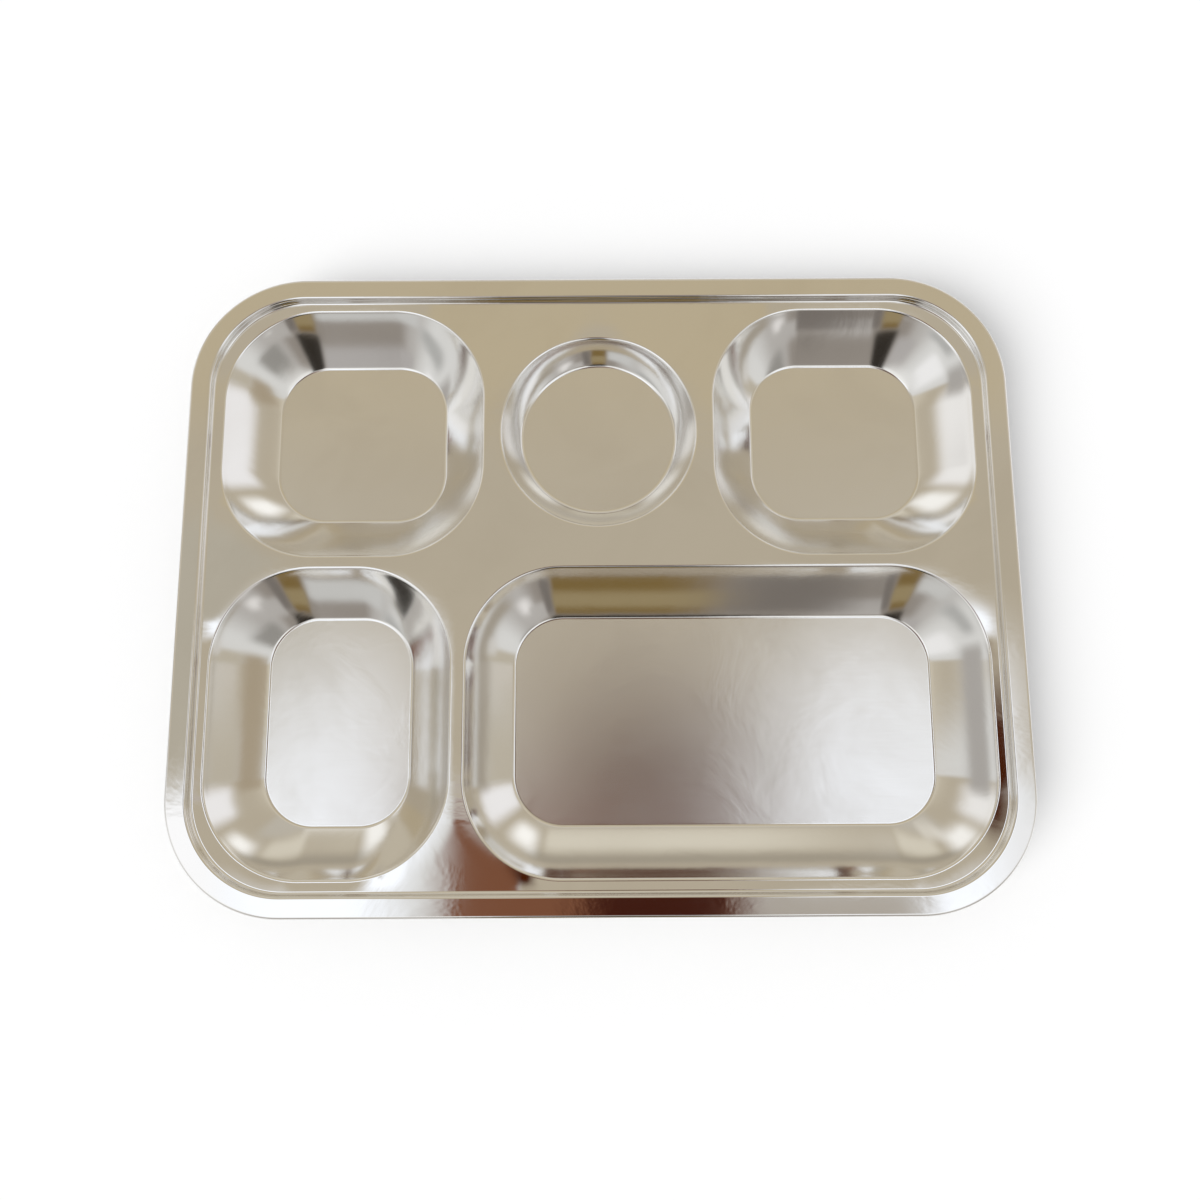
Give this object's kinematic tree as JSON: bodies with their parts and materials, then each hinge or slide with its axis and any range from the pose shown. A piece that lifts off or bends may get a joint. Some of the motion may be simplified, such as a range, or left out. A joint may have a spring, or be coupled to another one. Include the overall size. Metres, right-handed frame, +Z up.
{
  "type": "divided compartment plate",
  "caption": "Pressed stainless steel plate with a raised rolled rim, a round well for a side dish or cup and rounded rectangular wells that keep portions of food apart.",
  "frame": {"origin": "centre of the plate's outline, on the surface that the plate stands on", "axes": "+X along the long side to the right, +Y to the back, where the round well is, +Z up"},
  "size_m": [0.29, 0.2224, 0.0186],
  "materials": {
    "polished_steel": "polished",
    "satin_steel": "satin"
  },
  "bodies": {
    "root": {"rolled_edge": "polished_steel", "rim_flange": "polished_steel", "rim_step": "polished_steel", "deck_plate": "polished_steel", "back_left_wall": "satin_steel", "back_left_floor": "satin_steel", "round_wall": "satin_steel", "round_floor": "satin_steel", "back_right_wall": "satin_steel", "back_right_floor": "satin_steel", "front_left_wall": "satin_steel", "front_left_floor": "satin_steel", "front_right_wall": "satin_steel", "front_right_floor": "satin_steel"}
  },
  "joints": []
}
